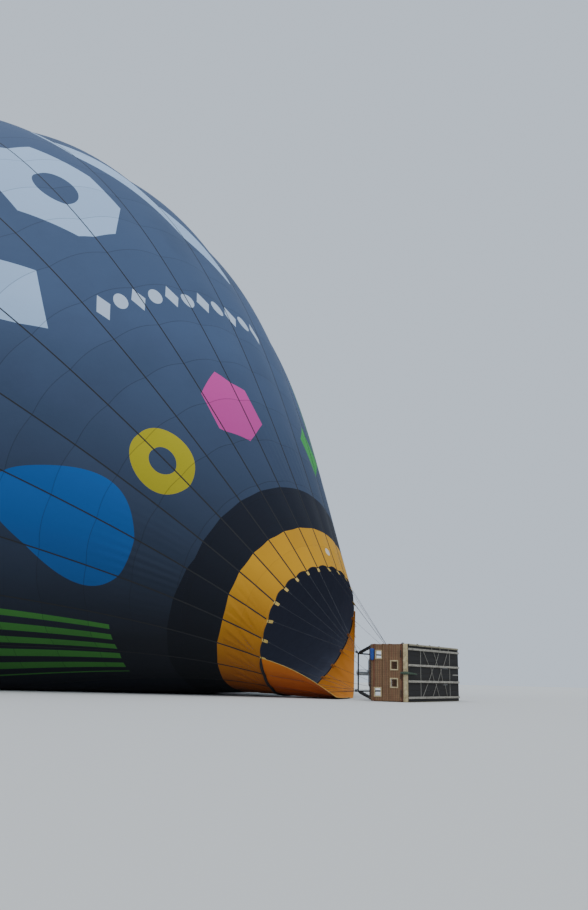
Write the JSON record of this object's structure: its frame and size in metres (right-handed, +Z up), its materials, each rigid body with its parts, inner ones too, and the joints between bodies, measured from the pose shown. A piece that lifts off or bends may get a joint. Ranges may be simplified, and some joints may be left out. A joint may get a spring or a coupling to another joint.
{
  "type": "hot air balloon",
  "caption": "Hot air balloon lying on its side while its envelope fills, with a tilting burner, a sliding crown vent and a partitioned wicker basket.",
  "frame": {"origin": "the place inside the filled envelope where the air holds it up", "axes": "+X from the crown end to the basket floor, +Y along the basket's long side, +Z up; the ground lies 9.1 m below the origin"},
  "size_m": [30.4926, 26.0788, 22.4427],
  "materials": {
    "slate_cloth": "matt",
    "dark_cloth": "matt",
    "yellow_cloth": "matt",
    "orange_cloth": "matt",
    "webbing": "matt",
    "wicker": "woven",
    "boards": "painted",
    "runners": "worn",
    "hide": "matt",
    "dark_leather": "matt",
    "steel": "brushed",
    "frame_paint": "satin",
    "aluminium": "satin",
    "pouch_cloth": "matt"
  },
  "bodies": {
    "body": {"envelope_lower_gores_near": "slate_cloth", "envelope_lower_gores_far": "slate_cloth", "envelope_waist_gores_near": "slate_cloth", "envelope_waist_gores_far": "slate_cloth", "envelope_middle_gores_near": "slate_cloth", "envelope_middle_gores_far": "slate_cloth", "envelope_shoulder_gores_near": "slate_cloth", "envelope_shoulder_gores_far": "slate_cloth", "envelope_upper_gores_near": "slate_cloth", "envelope_upper_gores_far": "slate_cloth", "envelope_crown_gores_near": "slate_cloth", "envelope_crown_gores_far": "slate_cloth", "envelope_dark_band": "dark_cloth", "envelope_mouth_band": "yellow_cloth", "mouth_hem_and_tabs": "yellow_cloth", "scoop": "orange_cloth", "crown_ring_and_tapes": "webbing", "basket_wall_low": "wicker", "basket_wall_high": "wicker", "basket_end_wall_near": "wicker", "basket_end_wall_far": "wicker", "partition_cross_near": "wicker", "partition_cross_far": "wicker", "partition_long_near": "wicker", "partition_long_far": "wicker", "basket_floor": "boards", "floor_runner_1": "runners", "floor_runner_2": "runners", "floor_runner_3": "runners", "floor_runner_4": "runners", "basket_leather_band": "hide", "floor_edge_roll": "hide", "basket_rim_padding": "dark_leather", "upright_near_top": "dark_leather", "upright_near_bottom": "dark_leather", "upright_far_top": "dark_leather", "upright_far_bottom": "dark_leather", "flying_cables_near_top": "steel", "flying_cables_near_bottom": "steel", "flying_cables_far_top": "steel", "flying_cables_far_bottom": "steel", "burner_frame": "frame_paint", "gas_cylinder_1": "aluminium", "gas_cylinder_2": "aluminium", "gas_cylinder_3": "aluminium", "gas_cylinder_4": "aluminium", "wall_pouch": "pouch_cloth"},
    "gimbal": {"gimbal_ring": "steel"},
    "burner": {"burner_block": "steel", "burner_can_1": "steel", "burner_can_2": "steel", "burner_can_3": "steel", "burner_can_4": "steel"},
    "vent": {"vent_valve": "slate_cloth"}
  },
  "joints": [
    {"name": "burner_tilt", "type": "hinge", "parent": "body", "child": "gimbal", "pos_m": [14.05, 1.82, -8.29], "axis": [0, 1, 0], "range_deg": [-12, 12]},
    {"name": "burner_swing", "type": "hinge", "parent": "gimbal", "child": "burner", "pos_m": [14.05, 1.82, -8.29], "axis": [0, 0, 1], "range_deg": [-12, 12]},
    {"name": "vent_slide", "type": "slide", "parent": "body", "child": "vent", "axis": [0.9402, 0.3165, -0.1261], "range_m": [0, 2.5]}
  ]
}
